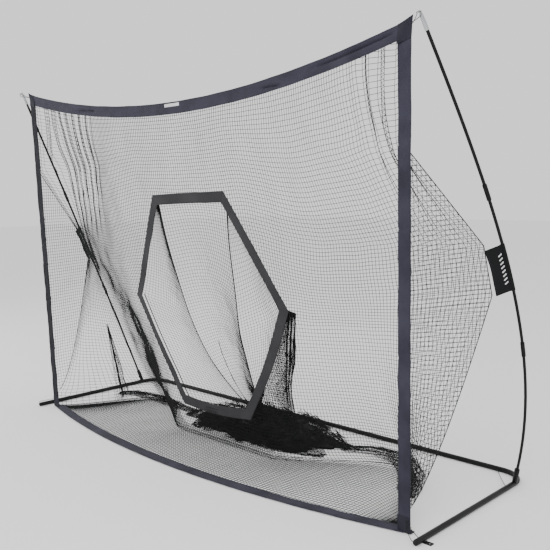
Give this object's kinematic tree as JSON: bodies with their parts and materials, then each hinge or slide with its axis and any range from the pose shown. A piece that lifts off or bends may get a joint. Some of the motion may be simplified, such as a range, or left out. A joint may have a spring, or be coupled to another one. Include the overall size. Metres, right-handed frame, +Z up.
{
  "type": "golf chipping net",
  "caption": "Free-standing golf hitting and chipping net: steel floor frame, two bowed fibreglass poles, banded net with hexagonal target pocket and side tabs.",
  "frame": {"origin": "on the floor under the centre of the bounding box, midway between the two legs", "axes": "+X to the right leg as seen from the player facing the mouth, +Y from the mouth back to the rail, +Z up"},
  "size_m": [3.324, 1.1126, 2.1025],
  "materials": {
    "steel_tube": "black powder coat, satin",
    "plated_steel": "zinc plated",
    "grey_metal": "satin light grey",
    "black_plastic": "moulded, fine grain",
    "fibreglass": "pultruded black rod, satin gloss",
    "band_fabric": "woven polyester, charcoal with a slight navy cast",
    "hexagon_fabric": "woven polyester, dark grey",
    "tab_fabric": "woven polyester, black",
    "label_fabric": "woven label, white",
    "netting": "knotless black polyester twine",
    "elastic_cord": "braided elastic"
  },
  "bodies": {
    "frame": {"rail_middle": "steel_tube", "left_corner_tube": "steel_tube", "left_rail_spigot": "plated_steel", "left_leg_spigot": "plated_steel", "left_pole_socket": "steel_tube", "left_socket_bush": "black_plastic", "left_button_spring": "plated_steel", "left_corner_cord": "elastic_cord", "left_band": "band_fabric", "left_upper_corner": "band_fabric", "left_lower_corner": "band_fabric", "left_gusset": "netting", "right_corner_tube": "steel_tube", "right_rail_spigot": "plated_steel", "right_leg_spigot": "plated_steel", "right_pole_socket": "steel_tube", "right_socket_bush": "black_plastic", "right_button_spring": "plated_steel", "right_corner_cord": "elastic_cord", "right_band": "band_fabric", "right_upper_corner": "band_fabric", "right_lower_corner": "band_fabric", "right_gusset": "netting", "top_band": "band_fabric", "bottom_band": "band_fabric", "catch_net": "netting", "floor_net": "netting", "hexagon_band": "hexagon_fabric", "pocket_net": "netting", "pocket_heap": "netting"},
    "left_leg": {"left_leg_tube": "steel_tube", "left_leg_cap": "black_plastic", "left_stake_plate": "steel_tube", "left_lower_loop": "elastic_cord"},
    "left_pole": {"left_lower_pole": "fibreglass", "left_middle_pole": "fibreglass", "left_upper_pole": "fibreglass", "left_lower_ferrule": "fibreglass", "left_upper_ferrule": "fibreglass", "left_pole_tip": "grey_metal", "left_tip_hook": "plated_steel", "left_side_tab": "tab_fabric", "left_upper_loop": "elastic_cord"},
    "left_button": {"left_snap_button": "plated_steel"},
    "right_leg": {"right_leg_tube": "steel_tube", "right_leg_cap": "black_plastic", "right_stake_plate": "steel_tube", "right_lower_loop": "elastic_cord"},
    "right_pole": {"right_lower_pole": "fibreglass", "right_middle_pole": "fibreglass", "right_upper_pole": "fibreglass", "right_lower_ferrule": "fibreglass", "right_upper_ferrule": "fibreglass", "right_pole_tip": "grey_metal", "right_tip_hook": "plated_steel", "right_side_tab": "tab_fabric", "right_upper_loop": "elastic_cord"},
    "right_button": {"right_snap_button": "plated_steel"}
  },
  "joints": [
    {"name": "left_leg_pull", "type": "slide", "parent": "frame", "child": "left_leg", "axis": [0, -1, 0], "range_m": [0, 0.055]},
    {"name": "left_pole_lift", "type": "slide", "parent": "frame", "child": "left_pole", "axis": [-0.2725, -0.2182, 0.9371], "range_m": [0, 0.065]},
    {"name": "left_button_press", "type": "slide", "parent": "frame", "child": "left_button", "axis": [0, 0, -1], "range_m": [0, 0.003], "stiffness_N_per_m": 600, "springref_m": -0.002, "deforming": ["left_button_spring"]},
    {"name": "right_leg_pull", "type": "slide", "parent": "frame", "child": "right_leg", "axis": [0, -1, 0], "range_m": [0, 0.055]},
    {"name": "right_pole_lift", "type": "slide", "parent": "frame", "child": "right_pole", "axis": [0.2725, -0.2182, 0.9371], "range_m": [0, 0.065]},
    {"name": "right_button_press", "type": "slide", "parent": "frame", "child": "right_button", "axis": [0, 0, -1], "range_m": [0, 0.003], "stiffness_N_per_m": 600, "springref_m": -0.002, "deforming": ["right_button_spring"]}
  ]
}
